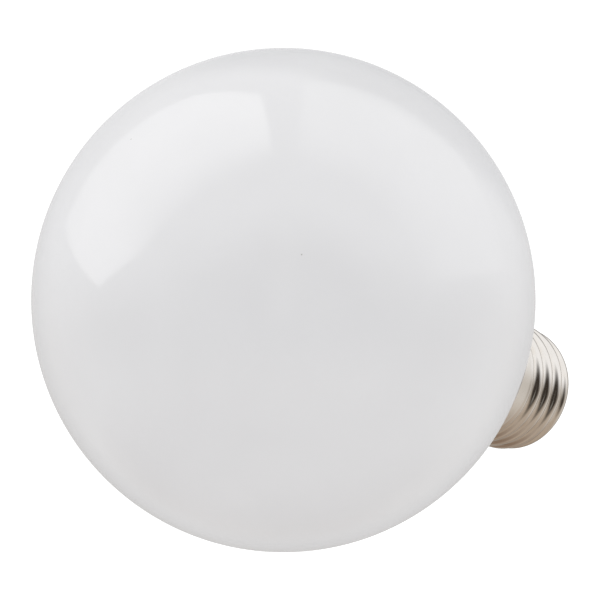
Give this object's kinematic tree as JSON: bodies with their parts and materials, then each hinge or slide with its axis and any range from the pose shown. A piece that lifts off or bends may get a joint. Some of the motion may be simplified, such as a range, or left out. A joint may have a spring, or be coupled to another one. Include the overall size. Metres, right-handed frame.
{
  "type": "globe lamp with screw cap",
  "caption": "Globe-shaped LED lamp with an opal diffuser, a white neck housing, a screw cap, and a mains driver with a radio module inside.",
  "frame": {"origin": "centre of the centre contact's flat face, on the lamp's axis, where the lamp meets the bottom of its holder", "axes": "+Z along the lamp's axis, from the cap towards the globe; -Y is the front; the thread is right-handed about +Z"},
  "size_m": [0.095, 0.095, 0.1375],
  "materials": {
    "opal_diffuser": "glossy opal white",
    "white_silicone": "soft satin",
    "white_housing": "fine satin moulded",
    "bare_aluminium": "spun",
    "dark_liner": "matt film",
    "thermal_pad": "matt",
    "white_board": "white solder mask",
    "warm_phosphor": "silicone over white frame",
    "cool_phosphor": "silicone over white frame",
    "clear_package": "clear well in a white frame",
    "zinc_steel": "zinc plated",
    "ivory_plastic": "moulded",
    "gilt_pins": "plated",
    "blue_board": "solder mask",
    "tinned_steel": "drawn can",
    "black_epoxy": "moulded",
    "copper_track": "bare copper",
    "green_board": "solder mask",
    "solder": "bright",
    "black_can_sleeve": "shrunk sleeve",
    "blue_can_sleeve": "shrunk sleeve",
    "yellow_box": "moulded box",
    "blue_dip": "dipped",
    "green_dip": "painted ceramic",
    "ferrite": "ground ferrite",
    "enamelled_wire": "enamelled copper",
    "yellow_tape": "polyester film",
    "chip_black": "glazed chip",
    "chip_tan": "fired ceramic",
    "brown_wire": "extruded",
    "blue_wire": "extruded",
    "nickel_plate": "bright nickel plate",
    "black_insulator": "moulded"
  },
  "bodies": {
    "root": {"globe_diffuser": "opal_diffuser", "globe_adhesive": "white_silicone", "housing": "white_housing", "heat_sink_cup": "bare_aluminium", "insulating_sleeve": "dark_liner", "thermal_pad": "thermal_pad", "led_board": "white_board", "warm_white_leds": "warm_phosphor", "cool_white_leds": "cool_phosphor", "rgb_leds": "clear_package", "led_board_screws": "zinc_steel", "connector_body": "ivory_plastic", "connector_pins": "gilt_pins", "radio_board": "blue_board", "radio_pins": "gilt_pins", "radio_chip": "black_epoxy", "radio_shield": "tinned_steel", "radio_antenna": "copper_track", "driver_board": "green_board", "solder_joints": "solder", "bulk_capacitor": "black_can_sleeve", "output_capacitor": "blue_can_sleeve", "line_capacitor": "yellow_box", "safety_capacitor": "blue_dip", "surge_varistor": "blue_dip", "fusible_resistor": "green_dip", "choke_core": "ferrite", "choke_winding": "enamelled_wire", "transformer_core": "ferrite", "transformer_bobbin": "black_epoxy", "transformer_winding": "enamelled_wire", "transformer_tape": "yellow_tape", "transformer_pins": "gilt_pins", "bridge_rectifier": "black_epoxy", "controller_chip": "black_epoxy", "dimming_chip": "black_epoxy", "voltage_regulator": "black_epoxy", "output_diode": "black_epoxy", "chip_resistors": "chip_black", "chip_capacitors": "chip_tan", "live_wire": "brown_wire", "neutral_wire": "blue_wire", "screw_shell": "nickel_plate", "cap_insulator": "black_insulator", "centre_contact": "nickel_plate"}
  },
  "joints": []
}
